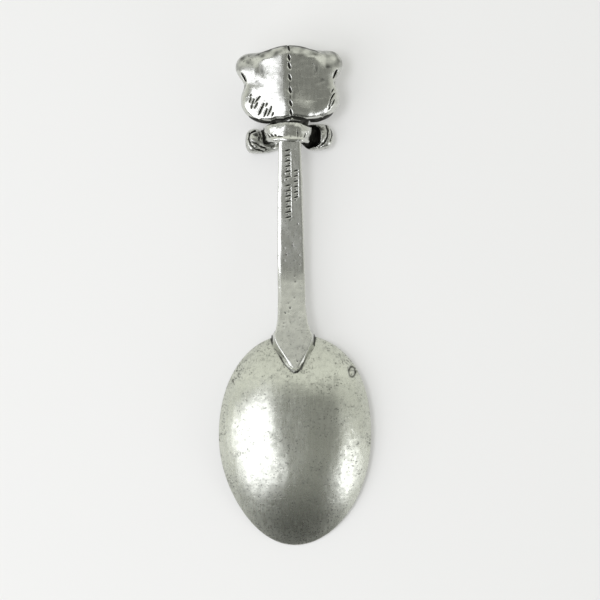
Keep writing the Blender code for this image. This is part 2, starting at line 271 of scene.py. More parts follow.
def skin_of(block, field):
    """The mesh of the field's zero level: its points, its four-sided faces, and how worn each point is.

    Wear is above zero on ridges, which rub bright, and below zero in creases and hollows, which stay dark.
    """
    grid = openvdb.FloatGrid(1.0)
    field = np.ascontiguousarray(field, dtype=np.float32)
    grid.copyFromArray(field)
    points, quads = grid.convertToQuads(isovalue=0.0)
    points = points * block.step + block.low
    fine = blurred(field, max(1, round(FINE_REACH / block.step)))
    broad = blurred(field, round(BROAD_REACH / block.step))
    wear_and_shade = block.sample(fine, points) / FINE_SCALE + np.minimum(0, block.sample(broad, points) / BROAD_SCALE)
    return points, quads.astype(int), wear_and_shade


def mesh_object(name, points, faces, wear_and_shade, keep=None):
    """A smooth-shaded mesh in metres.

    keep picks some of the faces, and each hole that this leaves is closed with a flat face.
    """
    if keep is not None:
        faces = faces[keep]
        used, faces = np.unique(faces, return_inverse=True)
        points, wear_and_shade, faces = points[used], wear_and_shade[used], faces.reshape(-1, 4)
    mesh = bpy.data.meshes.new(name)
    mesh.from_pydata((points * MM).tolist(), [], faces.tolist())
    # This attribute holds wear and patina from the skin's shape, plus painted shade added under the chin,
    # along the head's back edge, on the neck and in the bow loops.
    attribute = mesh.attributes.new("wear_and_shade", "FLOAT", "POINT")
    attribute.data.foreach_set("value", np.clip(wear_and_shade, -WEAR_LIMIT, WEAR_LIMIT).astype(np.float32))
    if keep is not None:
        bm = bmesh.new()
        bm.from_mesh(mesh)
        edges = [edge for edge in bm.edges if edge.is_boundary]
        for edge in edges:
            edge.smooth = False
        bmesh.ops.holes_fill(bm, edges=edges, sides=0)
        bm.to_mesh(mesh)
        bm.free()
    obj = bpy.data.objects.new(name, mesh)
    bpy.context.scene.collection.objects.link(obj)
    for polygon in mesh.polygons:
        polygon.use_smooth = True
    return obj


def casting(node, finish, points, faces, wear_and_shade, keep=None):
    """Makes the piece that takes the place of a CAD node, with its material."""
    obj = mesh_object(node + "_casting", points, faces, wear_and_shade, keep)
    obj.data.materials.append(FINISHES[finish])
    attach(obj, "root")
    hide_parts(node)


# ---- materials

TARNISH_AND_SHADE_COLOUR, DARKEST_TARNISH_AND_SHADE = (0.028, 0.028, 0.024, 1.0), 0.97
# (from, to) ranges over which the wear_and_shade attribute or a noise turns on a layer of the patina, or of
# the painted shade
UNCLEANED_RANGE, CREASE_RANGE = (0.15, -0.6), (0.12, -0.75)
SPECK_RANGE, SPECK_CLOUD_RANGE = (0.6, 0.69), (0.36, 0.6)
HAZE_RANGE, CLOUD_RANGE = (0.42, 0.66), (0.35, 0.68)
STREAK_RANGE, SCRATCH_RANGE = (0.4, 0.7), (0.66, 0.72)
# How much each layer adds
GRAIN_IN_CREASE, UNCLEANED_SPECKS, FEWEST_SPECKS = 0.35, 0.11, 0.35
HAZE_SHARE, CLOUD_SHARE, SPECK_SHARE, PATINA_SHARE = 0.45, 0.4, 0.9, 0.75
TARNISH_ROUGHNESS, STREAK_ROUGHNESS = 0.3, 0.06
GRAIN_HEIGHT, SPECK_HEIGHT, SCRATCH_HEIGHT = 0.6, 0.35, -0.3
BUMP_STRENGTH, BUMP_DISTANCE = 0.5, 0.035 * MM


def set_inputs(node, values):
    for name, value in values.items():
        node.inputs[name].default_value = value


def pewter(name, bright, polish, mottle, dirt):
    """Antiqued cast pewter: rubbed bright on its high places, dark in its creases, clouded and specked.

    bright is the metal's colour, polish its roughness, mottle how strongly the patina clouds it,
    and dirt how far the dark antiquing spreads out of the creases.
    """
    material = bpy.data.materials.new(name)
    material.use_nodes = True
    tree = material.node_tree
    shader = tree.nodes["Principled BSDF"]

    def node(kind, **values):
        made = tree.nodes.new(kind)
        for key, value in values.items():
            setattr(made, key, value)
        return made

    def link(source, target):
        tree.links.new(source, target)

    def math_node(operation, a, b, clamp=False):
        made = node("ShaderNodeMath", operation=operation, use_clamp=clamp)
        for socket, value in zip(made.inputs, (a, b), strict=False):
            if isinstance(value, (int, float)):
                socket.default_value = value
            else:
                link(value, socket)
        return made.outputs[0]

    def times(a, b, clamp=False):
        return math_node("MULTIPLY", a, b, clamp)

    def plus(a, b, clamp=False):
        return math_node("ADD", a, b, clamp)

    def noise(scale, detail, roughness, stretch=(1, 1, 1), turn=0.0):
        mapping = node("ShaderNodeMapping")
        set_inputs(mapping, {"Scale": [s / MM for s in stretch], "Rotation": (0, 0, turn)})
        link(coordinates.outputs["Object"], mapping.inputs["Vector"])
        made = node("ShaderNodeTexNoise")
        set_inputs(made, {"Scale": scale, "Detail": detail, "Roughness": roughness})
        link(mapping.outputs[0], made.inputs["Vector"])
        return made.outputs["Fac"]

    def between(value, low, high, to_low=0.0, to_high=1.0):
        made = node("ShaderNodeMapRange", interpolation_type="SMOOTHSTEP")
        set_inputs(made, {"From Min": low, "From Max": high, "To Min": to_low, "To Max": to_high})
        link(value, made.inputs["Value"])
        return made.outputs[0]

    coordinates = node("ShaderNodeTexCoord")
    wear_and_shade = node("ShaderNodeAttribute", attribute_name="wear_and_shade").outputs["Fac"]
    clouds = noise(scale=0.2, detail=4.0, roughness=0.6)
    grain = noise(scale=0.95, detail=2.5, roughness=0.6)
    specks = noise(scale=2.3, detail=1.5, roughness=0.6)
    streaks = noise(scale=0.9, detail=2.0, roughness=0.6, stretch=(3.2, 0.3, 1.0), turn=math.radians(38))
    scratches = noise(scale=0.7, detail=1.0, roughness=0.5, stretch=(0.3, 4.5, 1.0), turn=math.radians(-52))

    uncleaned = between(wear_and_shade, *UNCLEANED_RANGE)
    grainy_wear_and_shade = plus(wear_and_shade, times(grain, GRAIN_IN_CREASE))
    # Where wear_and_shade is low, in creases and where shade is painted, the dark tarnish colour comes in;
    # the painted shade uses this same colour.
    crease = between(grainy_wear_and_shade, CREASE_RANGE[0] + dirt, CREASE_RANGE[1] + dirt)
    pocks = plus(specks, times(uncleaned, UNCLEANED_SPECKS))
    dense = between(clouds, *SPECK_CLOUD_RANGE, to_low=FEWEST_SPECKS)
    speck = times(between(pocks, *SPECK_RANGE), dense, clamp=True)
    haze = times(between(grain, *HAZE_RANGE), mottle)
    cloud = times(between(clouds, *CLOUD_RANGE), mottle)
    patina = plus(times(haze, HAZE_SHARE), times(cloud, CLOUD_SHARE))
    patina = plus(patina, times(speck, SPECK_SHARE * mottle), clamp=True)
    tarnish_and_shade = math_node("MAXIMUM", times(patina, PATINA_SHARE), crease, clamp=True)

    colour = node("ShaderNodeMix", data_type="RGBA")
    set_inputs(colour, {"A": (*bright, 1.0), "B": TARNISH_AND_SHADE_COLOUR})
    link(between(tarnish_and_shade, 0.0, 1.0, to_high=DARKEST_TARNISH_AND_SHADE), colour.inputs["Factor"])
    link(colour.outputs["Result"], shader.inputs["Base Color"])

    shader.inputs["Metallic"].default_value = 1.0
    rough = plus(polish, times(tarnish_and_shade, TARNISH_ROUGHNESS))
    rough = plus(rough, times(between(streaks, *STREAK_RANGE), STREAK_ROUGHNESS), clamp=True)
    link(rough, shader.inputs["Roughness"])

    height = plus(times(grain, GRAIN_HEIGHT), times(specks, SPECK_HEIGHT))
    height = plus(height, times(between(scratches, *SCRATCH_RANGE), SCRATCH_HEIGHT))
    bump = node("ShaderNodeBump")
    set_inputs(bump, {"Strength": BUMP_STRENGTH, "Distance": BUMP_DISTANCE})
    link(height, bump.inputs["Height"])
    link(bump.outputs["Normal"], shader.inputs["Normal"])
    return material


PEWTER, WARM_PEWTER, PATINA_AND_SHADE_PEWTER = (0.66, 0.668, 0.63), (0.655, 0.67, 0.605), (0.3, 0.3, 0.26)
# (colour, polish, mottle, dirt)
LOOKS = {
    "bowl": (WARM_PEWTER, 0.23, 0.6, 0.0),
    "stem": (PEWTER, 0.24, 0.42, 0.03),
    "head": (PEWTER, 0.17, 0.42, 0.1),
    "face": (PEWTER, 0.18, 0.45, 0.1),
    "ear": (PEWTER, 0.2, 0.5, 0.1),
    # The neck's colour is dark patina plus painted shade, for its place under the chin and collar.
    "neck": (PATINA_AND_SHADE_PEWTER, 0.4, 1.0, 0.35),
    "collar": (PEWTER, 0.17, 0.5, 0.1),
    "bow": (PEWTER, 0.22, 0.6, 0.12),
}
FINISHES = {name: pewter(name + "_pewter", *look) for name, look in LOOKS.items()}

# ---- bowl

BOX_MARGIN = 0.01
BOWL_TIP_REACH_SHARE = 24.4 / 46.6
BOWL_LENGTH = BOWL_HIGH[1] - BOWL_LOW[1]
BOWL_TIP_REACH = BOWL_LENGTH * BOWL_TIP_REACH_SHARE
BOWL_HEEL_REACH = BOWL_LENGTH - BOWL_TIP_REACH
BOWL_HALF_WIDTH = (BOWL_HIGH[0] - BOWL_LOW[0]) / 2 - BOX_MARGIN
BOWL_CENTRE = ((BOWL_HIGH[0] + BOWL_LOW[0]) / 2, BOWL_LOW[1] + BOWL_TIP_REACH)
BOWL_ROLL = math.radians(-0.7)
BOWL_DEPTH = 6.6
BOWL_WALL = 1.25
TIP_DOME_POWER, HEEL_DOME_POWER = 2.6, 3.4
HEEL_FULLNESS, TIP_FULLNESS, SIDE_FULLNESS = 0.03, -0.015, 0.012
RIM_HEEL_Z, RIM_ARCH, RIM_ROUNDING = 3.6, 0.8, 0.35
BOWL_CELLS, RIM_TURNS = 250, 7
# (height, wavelength, seed) of the casting's unevenness on the bowl's back and in its hollow
BACK_RIPPLES = (0.022, 8.0, 3), (0.008, 2.4, 4), (0.002, 0.9, 6)
HOLLOW_RIPPLE = (0.01, 6.0, 5)
# How far the wear goes down in each dull place
FILLET_DULL, CREASE_DULL, PIT_DULL, RIM_DULL, HEEL_SIDE_DULL, STAIN_DULL = 0.28, 0.4, 0.45, 0.14, 0.1, 0.13


def rim_z(y):
    along = (y - BOWL_LOW[1]) / BOWL_LENGTH
    return RIM_HEEL_Z * along + RIM_ARCH * (1 - (2 * along - 1) ** 2)


def dome_power(towards_heel):
    """How flat the dome's crown is: flattest towards the heel, where towards_heel is 1."""
    return TIP_DOME_POWER + (HEEL_DOME_POWER - TIP_DOME_POWER) * smooth_step(towards_heel, 0, 1)


def bowl_skin(share, angle, inset):
    """Points of the bowl's dome, at a share of the way from crown to rim, inset from the outer skin."""
    heel = np.sin(angle) > 0
    fullness = np.where(heel, HEEL_FULLNESS, TIP_FULLNESS) + SIDE_FULLNESS * np.cos(angle)
    full = 1 + fullness * np.sin(2 * angle) ** 2
    reach = np.where(heel, BOWL_HEEL_REACH, BOWL_TIP_REACH)
    x = share * (BOWL_HALF_WIDTH * full - inset) * np.cos(angle)
    y = share * (reach * full - inset) * np.sin(angle)
    cos, sin = math.cos(BOWL_ROLL), math.sin(BOWL_ROLL)
    x, y = BOWL_CENTRE[0] + x * cos - y * sin, BOWL_CENTRE[1] + x * sin + y * cos
    dome = np.maximum(0, 1 - share ** dome_power(np.sin(angle)))
    return np.stack([x, y, rim_z(y) + RIM_ROUNDING + (BOWL_DEPTH - inset) * dome], axis=-1)


def disc_grid(cells):
    """A square grid squeezed into a disc, closer set at its rim: each point's radius share and angle."""
    side = np.linspace(-1, 1, cells + 1)
    u, v = np.meshgrid(side, side, indexing="ij")
    wide = np.abs(u) > np.abs(v)
    longer = np.where(wide, u, v)
    ratio = np.where(wide, v, u) / np.where(longer == 0, 1, longer)
    angle = np.where(wide, ratio * math.pi / 4, math.pi / 2 - ratio * math.pi / 4)
    angle = np.where(longer < 0, angle + math.pi, angle)
    share = (np.abs(longer) + np.sin(math.pi / 2 * np.abs(longer))) / 2
    return share, (angle + math.pi) % (2 * math.pi) - math.pi


PIT_CENTRE, PIT_RADII, PIT_EDGE = (12.9, -16.9), (0.7, 1.1), 0.3
FILLET_WIDTH, FILLET_TIP_WIDTH, FILLET_HEIGHT = 0.95, 0.45, 0.4
CREASE_WIDTH, CREASE_DEPTH, PIT_DEPTH = 0.2, 0.07, 0.09
# (start, end, width, height)
BOWL_DENTS = (
    ((12.7, -29.6), (12.9, -31.5), 0.5, -0.06),
    ((-6.0, -45.5), (-5.4, -46.1), 0.4, -0.03),
)


def pit_ring(x, y):
    """1 along the ring that edges the oval casting pit, falling to 0 on both sides."""
    ring = np.hypot((x - PIT_CENTRE[0]) / PIT_RADII[0], (y - PIT_CENTRE[1]) / PIT_RADII[1])
    return bell((ring - 1) / PIT_EDGE)


def fillet_width(y):
    """The heel's fillet narrows round the heel's tip."""
    return FILLET_WIDTH + (FILLET_TIP_WIDTH - FILLET_WIDTH) * smooth_step(-y, 14.6, 16.6)


def fillet_crease(x, y, away):
    """1 along the creases beside the heel: on the left outside its fillet, on the right at its foot."""
    left = bell((away - 0.9 * fillet_width(y)) / CREASE_WIDTH) * (0.3 + 0.7 * smooth_step(-y, 11.5, 14.0))
    right = bell((away - 0.15) / CREASE_WIDTH)
    return np.where(x < stem_middle(HEEL_TIP_Y), left, right) * smooth_step(-y, 8.6, 10.0)


def bowl_relief(points, share, away):
    """How far each point of the bowl's back stands proud: unevenness, the heel's fillet, dents and pits."""
    x, y = points[..., 0], points[..., 1]
    relief = unevenness(points, *BACK_RIPPLES)
    relief += FILLET_HEIGHT * np.clip(1 - away / fillet_width(y), 0, 1) ** 2
    relief -= CREASE_DEPTH * fillet_crease(x, y, away) + PIT_DEPTH * pit_ring(x, y)
    relief = engraved(x, y, BOWL_DENTS, relief)
    places = ((-15, 15), (-53, -12))
    for hole in pin_holes(x, y, seed=8, count=90, places=places, sizes=(0.12, 0.35), depths=(0.008, 0.03)):
        relief -= hole
    return relief * smooth_step(1 - share, 0.0, 0.03)


def make_bowl():
    share, angle = disc_grid(BOWL_CELLS)
    outer = bowl_skin(share, angle, 0.0)
    away = heel_distance(outer[..., 0], outer[..., 1])
    outer[..., 2] += bowl_relief(outer, share, away)
    inner = bowl_skin(share, angle, BOWL_WALL)
    inner[..., 2] += unevenness(inner, HOLLOW_RIPPLE) * smooth_step(1 - share, 0.0, 0.04)
    side = BOWL_CELLS + 1
    number = np.arange(side * side).reshape(side, side)
    quads = np.stack([number[:-1, :-1], number[1:, :-1], number[1:, 1:], number[:-1, 1:]], axis=-1)
    quads = quads.reshape(-1, 4)
    edge = np.concatenate([number[:-1, 0], number[-1, :-1], number[:0:-1, -1], number[0, :0:-1]])
    points = [outer.reshape(-1, 3), inner.reshape(-1, 3)]
    rings, faces = [edge], [quads, quads[:, ::-1] + side * side]
    first = 2 * side * side
    for turn in np.linspace(0, math.pi, RIM_TURNS)[1:-1]:
        across = 0.5 - 0.5 * math.cos(turn)
        ring = outer.reshape(-1, 3)[edge] * (1 - across) + inner.reshape(-1, 3)[edge] * across
        ring[:, 2] -= RIM_ROUNDING * math.sin(turn)
        points.append(ring)
        rings.append(first + np.arange(len(edge)))
        first += len(edge)
    rings.append(edge + side * side)
    for upper, lower in itertools.pairwise(rings):
        ahead, below = np.roll(upper, -1), np.roll(lower, -1)
        faces.append(np.stack([upper, lower, below, ahead], axis=-1))
    points = np.concatenate(points)
    wear_and_shade = np.zeros(len(points))
    x, y = outer[..., 0], outer[..., 1]
    dull = -FILLET_DULL * (away < fillet_width(y)) - CREASE_DULL * fillet_crease(x, y, away)
    dull = dull - PIT_DULL * pit_ring(x, y)
    dull = dull - RIM_DULL * smooth_step(share, 0.75, 1.0) - HEEL_SIDE_DULL * smooth_step(y, -27, -13)
    stained = np.clip(ripple(outer, 1.5, 9), 0, 1.2) * smooth_step(share, 0.4, 1.0)
    dull = dull - STAIN_DULL * stained
    wear_and_shade[: side * side] = dull.ravel()
    casting("bowl", "bowl", points, np.concatenate(faces), wear_and_shade)


# ---- stem

STEM_TOP_Y = NECK_LOW[1] - 0.3
HEEL_TIP_Y = STEM_LOW[1]
STEM_BEND_Y, STEM_BEND_HALF, STEM_COLLAR_Y = 6.2, 3.8, 34.6
STEM_COLLAR_Z, STEM_BEND_Z, HEEL_TIP_Z = STEM_HIGH[2], 5.8, 9.3
# Along the stem, in mm: (y, half width), (y, middle's x) and (y, thickness)
stem_half_width = curve_through([
    (-16.6, 0.3), (-16.2, 0.75), (-13.0, 2.5), (-9.7, 4.05), (-8.7, 4.2), (-7.4, 3.75),
    (-5.3, 3.3), (-1.0, 3.05), (6.0, 3.0), (21.0, 2.8), (STEM_COLLAR_Y, 2.5),
])
stem_middle = curve_through([
    (-16.6, 0.5), (-8.5, 0.05), (-2.0, -0.15), (10.0, -0.2), (STEM_COLLAR_Y, -0.15),
])
stem_thickness = curve_through([(-16.6, 1.6), (-8.4, 3.9), (2.0, 2.9), (12.0, 2.5), (STEM_COLLAR_Y, 2.3)])
# (y, width) of the bright chamfer on the left and of the narrower one on the right
left_chamfer = curve_through([
    (-16.6, 0.5), (-14.6, 0.5), (-12.6, 0.12), (-8, 0.06), (-4.5, 0.25), (0, 0.6), (STEM_COLLAR_Y, 0.6),
])
right_chamfer = curve_through([
    (-16.6, 0.5), (-14.6, 0.5), (-12.6, 0.12), (-8, 0.06), (-4, 0.25), (STEM_COLLAR_Y, 0.42),
])
LEFT_CHAMFER_SLOPE, RIGHT_CHAMFER_SLOPE = 0.46, 0.8
HEEL_DRAFT, DRAFT_START = 0.42, 0.25
HEEL_LENGTH, HEEL_SAMPLES = 10, 160
NEAR_HEEL_X, NEAR_HEEL_Y, FAR_FROM_HEEL = 7, 2, 9.0
SEAT_DEPTH, SEAT_SHARE, NO_SEAT = 0.45, 0.985, -5.0
STEM_STEP, STEM_MARGIN = 0.09, 0.6
TOP_ROUNDING, SIDE_ROUNDING, LOW_ROUNDING, END_ROUNDING, LOW_CHAMFER = 0.14, 0.22, 0.3, 0.2, 0.5
STEM_RIPPLES = (0.02, 5.0, 11), (0.008, 1.6, 12)
HEEL_FOOT_DULL = 0.35
# Punched marks in columns down the stem's back: (middle x, half length of a bar, first y, number of bars)
MARK_COLUMNS = (-0.62, 0.62, 31.9, 6), (-0.62, 0.62, 24.2, 7), (1.12, 0.48, 27.4, 6)
MARK_PITCH, MARK_TILT = 1.16, 0.16
# (width, depth) of a bar, the lip raised below it, the dot between two bars and the lip beside a column
BAR, BAR_LIP, DOT, COLUMN_LIP = (0.36, 0.15), (0.3, -0.04), (0.4, 0.13), (0.24, -0.05)


def stem_back_z(y):
    upper = (STEM_COLLAR_Z - STEM_BEND_Z) / (STEM_COLLAR_Y - STEM_BEND_Y)
    lower = (HEEL_TIP_Z - STEM_BEND_Z) / (HEEL_TIP_Y - STEM_BEND_Y)
    past = y - STEM_BEND_Y
    mean, half_turn = (upper + lower) / 2, (upper - lower) / 2
    straight = STEM_BEND_Z + past * mean + half_turn * np.abs(past)
    bent = STEM_BEND_Z + mean * past + half_turn * (past**2 / STEM_BEND_HALF + STEM_BEND_HALF) / 2
    return np.where(np.abs(past) > STEM_BEND_HALF, straight, bent)


def heel_distance(x, y):
    """How far a point is outside the heel's outline, in plan: below zero inside it, large far from it."""
    samples = np.linspace(HEEL_TIP_Y, HEEL_TIP_Y + HEEL_LENGTH, HEEL_SAMPLES)
    half, middle = stem_half_width(samples), stem_middle(samples)
    outline = np.concatenate([np.stack([middle + side * half, samples], -1) for side in (-1, 1)])
    distance = np.full(x.shape, FAR_FROM_HEEL)
    near = (np.abs(x) < NEAR_HEEL_X) & (y > HEEL_TIP_Y - NEAR_HEEL_Y)
    across, along = x[near], y[near]
    here = np.stack([across, along], axis=-1)
    nearest = np.sqrt(((here[:, None] - outline) ** 2).sum(-1)).min(axis=1)
    inside = (np.abs(across - stem_middle(along)) < stem_half_width(along)) & (along > HEEL_TIP_Y)
    distance[near] = np.where(inside, -nearest, nearest)
    return distance


def stem_relief(x, y):
    """Engraving on the stem's back: columns of punched bars and dots, and pin holes."""
    marks = []
    for middle, reach, top, count in MARK_COLUMNS:
        for row in range(count):
            at = top - MARK_PITCH * row
            start, end = (middle - reach, at - MARK_TILT), (middle + reach, at + MARK_TILT)
            dot = middle + 0.5 * reach * (-1) ** row
            marks.append((start, end, *BAR))
            marks.append(((start[0], at - 0.42), (end[0], at - 0.1), *BAR_LIP))
            marks.append(((dot, at - 0.52), (dot + 0.05, at - 0.66), *DOT))
        lip = middle + reach + 0.16
        marks.append(((lip, top), (lip, at), *COLUMN_LIP))
    relief = engraved(x, y, marks)
    places = ((-3.5, 3.5), (-15, 33))
    for hole in pin_holes(x, y, seed=21, count=70, places=places, sizes=(0.1, 0.26), depths=(0.02, 0.06)):
        relief = relief + hole
    return relief


def make_stem():
    """The bar with chamfered edges, whose heel sinks a little way into the bowl's back."""
    high = np.array([STEM_HIGH[0], STEM_TOP_Y, STEM_HIGH[2]])
    block = Block(STEM_LOW - STEM_MARGIN, high + STEM_MARGIN, STEM_STEP)
    x, y, z = block.axes
    half, back = stem_half_width(y), stem_back_z(y)
    offset = x - stem_middle(y)
    lean = np.gradient(half[0, :, 0], STEM_STEP).reshape(1, -1, 1)
    side = (np.abs(offset) - half) / np.sqrt(1 + lean**2)
    on_top = smooth_step(z, 3.0, 5.0) * smooth_step(-side, 0.05, 0.3)
    top = z - back
    side = side - HEEL_DRAFT * smooth_step(-y, 7.2, 10.2) * np.maximum(0, -top - DRAFT_START)
    width = np.where(offset < 0, left_chamfer(y), right_chamfer(y))
    slope = np.where(offset < 0, LEFT_CHAMFER_SLOPE, RIGHT_CHAMFER_SLOPE)
    chamfer = (top + slope * (side + width)) / np.sqrt(1 + slope**2)
    bottom = back - stem_thickness(y) - z
    low_chamfer = (bottom + side + LOW_CHAMFER) / math.sqrt(2)
    field = soft_max(soft_max(top, chamfer, TOP_ROUNDING), side, SIDE_ROUNDING)
    for cut in (bottom, low_chamfer, HEEL_TIP_Y + 0.05 - y):
        field = soft_max(field, cut, LOW_ROUNDING)
    field = soft_max(field, y - STEM_TOP_Y, END_ROUNDING)
    field = np.maximum(field, seat_field(x, y, z))
    plan = np.stack(np.broadcast_arrays(x, y, 0 * x * y), axis=-1)
    field = field + stem_relief(x, y) * on_top + unevenness(plan, *STEM_RIPPLES)
    points, quads, wear_and_shade = skin_of(block, field)
    drop = stem_back_z(points[:, 1]) - points[:, 2]
    wear_and_shade = wear_and_shade - HEEL_FOOT_DULL * smooth_step(drop, 0.35, 0.8) * smooth_step(-points[:, 1], 9.6, 11.0)
    casting("stem", "stem", points, quads, wear_and_shade)


def seat_field(x, y, z):
    """Above zero under the bowl's back, a little way in from its skin, where the heel is cut away."""
    dx, dy = x - BOWL_CENTRE[0], y - BOWL_CENTRE[1]
    share = np.sqrt((dx / BOWL_HALF_WIDTH) ** 2 + (dy / BOWL_HEEL_REACH) ** 2)
    dome = np.maximum(0, 1 - share ** dome_power(dy / np.maximum(np.hypot(dx, dy), 0.1)))
    depth = rim_z(y) + RIM_ROUNDING - SEAT_DEPTH + BOWL_DEPTH * dome - z
    return np.where(share < SEAT_SHARE, depth, NO_SEAT)


# ---- head and ears

HEAD_STEP = 0.1
CROWN_REACH = 8.7
PARTING_Z = (BACK_LOW[2] + FACE_HIGH[2]) / 2
HEAD_CENTRE = np.array([0.0, BACK_HIGH[1] - CROWN_REACH, PARTING_Z])
HEAD_ROLL = math.radians(1.3)
BACK_HEIGHT = BACK_HIGH[2] - PARTING_Z - 0.12
FACE_DEPTH = 4.5
# (angle from +X in degrees, radius in mm) of the outline's right half, which is mirrored to the left
head_radius = curve_through([
    (-90, 8.35), (-72, 8.8), (-52, 10.55), (-38, 11.45), (-24, 11.8), (-14, 11.25),
    (2, 9.9), (22, 9.8), (45, 9.65), (62, 8.9), (90, 8.62),
])
LEFT_ROOF_SLOPE, RIGHT_ROOF_SLOPE, ROOF_ROUNDING, RIDGE_X = 0.26, 0.2, 0.7, -0.9
PARTING_INSET = 0.12
# The head's back curves down over this reach from its outline, more on the right cheek, this steeply
SHOULDER_REACH, RIGHT_CHEEK_REACH, SHOULDER_FALL = 2.0, 1.0, 0.2
ROOF_BOW, FACE_BOW, BACK_ROUNDING, FACE_ROUNDING = 0.0025, 0.012, 0.65, 4.6
PARTING_GROOVE = 0.16
EAR_CENTRE, EAR_RADIUS = (8.75, 4.15, 0.9), 3.0
# (centre, radii) of the other features, those of a pair on the right
EAR = EAR_CENTRE, (EAR_RADIUS, EAR_RADIUS, 2.25)
EAR_HOLLOW = (8.6, 4.0, -2.3), (2.2, 2.2, 2.3)
EYE_SOCKET, EYE = ((3.3, 1.5, -5.0), (1.15, 1.15, 1.0)), ((3.3, 1.5, -4.35), (0.85, 0.85, 0.75))
MUZZLE, NOSE = ((0, -2.2, -4.1), (4.3, 3.3, 3.05)), ((0, -0.7, -6.3), (1.5, 1.0, 0.8))
STITCH_YS = (7.9, 5.8, 4.0, 1.5, -1.3, -4.2, -6.2)
STITCH, STITCH_LIP = (0.62, 0.36), (0.3, -0.05)
CHIN_CREASE = (
    (-6.2, -7.9), (-4.4, -8.1), (-3.2, -7.6), (-1.6, -7.7),
    (0.2, -7.1), (2.0, -7.5), (3.4, -8.0), (6.4, -7.8),
)
# (middle, length, lean in degrees, depth) of each stroke of fur, on the left cheek and then on the right
FUR = (
    ((-8.6, -2.0), 0.8, 62, 0.12), ((-8.75, -3.0), 1.3, 70, 0.2), ((-8.1, -3.4), 1.3, 66, 0.2),
    ((-8.5, -4.5), 1.1, 75, 0.18), ((-7.15, -3.0), 1.9, 48, 0.2), ((-7.5, -4.3), 1.6, 58, 0.18),
    ((-6.3, -4.9), 2.3, 60, 0.3), ((-6.8, -6.0), 1.2, 55, 0.22), ((-5.5, -6.0), 2.0, 66, 0.26),
    ((-4.6, -5.7), 2.4, 63, 0.24), ((-5.2, -4.2), 1.0, 58, 0.1), ((-3.9, -6.4), 1.1, 66, 0.12),
    ((9.3, -1.7), 1.0, 62, 0.2), ((9.4, -2.7), 1.4, 56, 0.22), ((9.0, -3.4), 1.9, 60, 0.25),
    ((9.3, -4.3), 1.6, 62, 0.22), ((8.6, -4.6), 1.3, 60, 0.16), ((8.5, -5.4), 1.0, 64, 0.14),
)
FUR_WIDTH, FUR_LIP_WIDTH, NICK_WIDTH = 0.36, 0.34, 0.42
# (x, y, depth) of the nicks below each ear
EAR_NICKS = (10.5, 2.5, 0.3), (10.2, 2.0, 0.3), (9.95, 1.4, 0.22)
LOBE_CENTRE, LOBE_TURN, LOBE_HEIGHT, LOBE_WIDTH = (3.4, -6.2), (0.79, 0.61), 0.42, 2.1
LOBE_SHORT, LOBE_LONG = 1.2, 4.5
HEAD_RIPPLES = (0.022, 4.0, 31), (0.006, 1.5, 32)
# How far the painted shade darkens the band under the chin and the line along the back's rounded edge
CHIN_PAINTED_SHADE, OUTLINE_PAINTED_SHADE, CROWN_OUTLINE_PAINTED_SHADE = 1.6, 0.5, 0.2
CLOUD_DULL, CLOUD_RIPPLE = 0.33, (0.1, 1.7, 33)


def head_back_relief(x, y):
    """Engraving on the back of the head, in its own frame: seam, stitches, fur, creases and chin."""
    seam = 0.04 * bell(x / 0.16) - 0.05 * bell((x + 0.1) / 0.6)
    stitches = []
    for middle in STITCH_YS:
        stitches.append(((-0.14, middle + 0.66), (0.2, middle - 0.58), *STITCH))
        stitches.append(((0.34, middle + 0.4), (0.56, middle - 0.5), *STITCH_LIP))
    relief = engraved(x, y, stitches, seam) + trail(x, y, CHIN_CREASE, 0.9, 0.4)
    strokes = []
    for (cx, cy), length, lean, deep in FUR:
        reach = length / 2
        across, along = reach * math.cos(math.radians(lean)), reach * math.sin(math.radians(lean))
        start, end = (cx + across, cy + along), (cx - across, cy - along)
        strokes.append((start, end, FUR_WIDTH, deep))
        strokes.append(((start[0] - 0.3, start[1]), (end[0] - 0.3, end[1]), FUR_LIP_WIDTH, -0.25 * deep))
    for side in (-1, 1):
        for cx, cy, deep in EAR_NICKS:
            strokes.append(((side * cx, cy + 0.4), (side * (cx - 0.45), cy - 0.4), NICK_WIDTH, deep))
        strokes.append(((side * 10.0, 1.6), (side * 6.0, 0.2), 2.4, 0.1))
        strokes.append(((side * 6.9, 6.6), (side * 5.6, 2.0), 2.4, 0.08))
    relief = engraved(x, y, strokes, relief)
    (cos, sin), (cx, cy) = LOBE_TURN, LOBE_CENTRE
    along = cos * (x - cx) - sin * (y - cy)
    across = sin * (x - cx) + cos * (y - cy)
    lobe = np.exp(-((along / np.where(along > 0, LOBE_SHORT, LOBE_LONG)) ** 2) - (across / LOBE_WIDTH) ** 2)
    return relief - LOBE_HEIGHT * lobe


def face_relief(x, y):
    """Engraving on the face, in the head's own frame: mouth, brows and fur."""
    strokes = [((0, -1.8), (0, -3.1), 0.4, 0.3)]
    for side in (-1, 1):
        strokes.append(((0, -3.1), (side * 1.5, -3.9), 0.4, 0.28))
        strokes.append(((side * 2.1, 3.4), (side * 4.3, 3.3), 0.5, 0.14))
        for row in range(5):
            start = (side * (8.0 + 0.25 * row), -1.4 - 1.05 * row)
            end = (side * (9.3 - 0.1 * row), -2.3 - 1.1 * row)
            strokes.append((start, end, 0.42, 0.22))
        for row in range(4):
            start = (side * (0.7 + 1.1 * row), 7.3 - 0.25 * row)
            end = (side * (0.5 + 1.0 * row), 6.0 - 0.25 * row)
            strokes.append((start, end, 0.4, 0.16))
    return engraved(x, y, strokes)


def parting_inset(angle):
    """How far the head's back is set in from its face, which is only along the cheeks."""
    return PARTING_INSET * smooth_step(-angle, 0, 20) * smooth_step(angle, -75, -50)


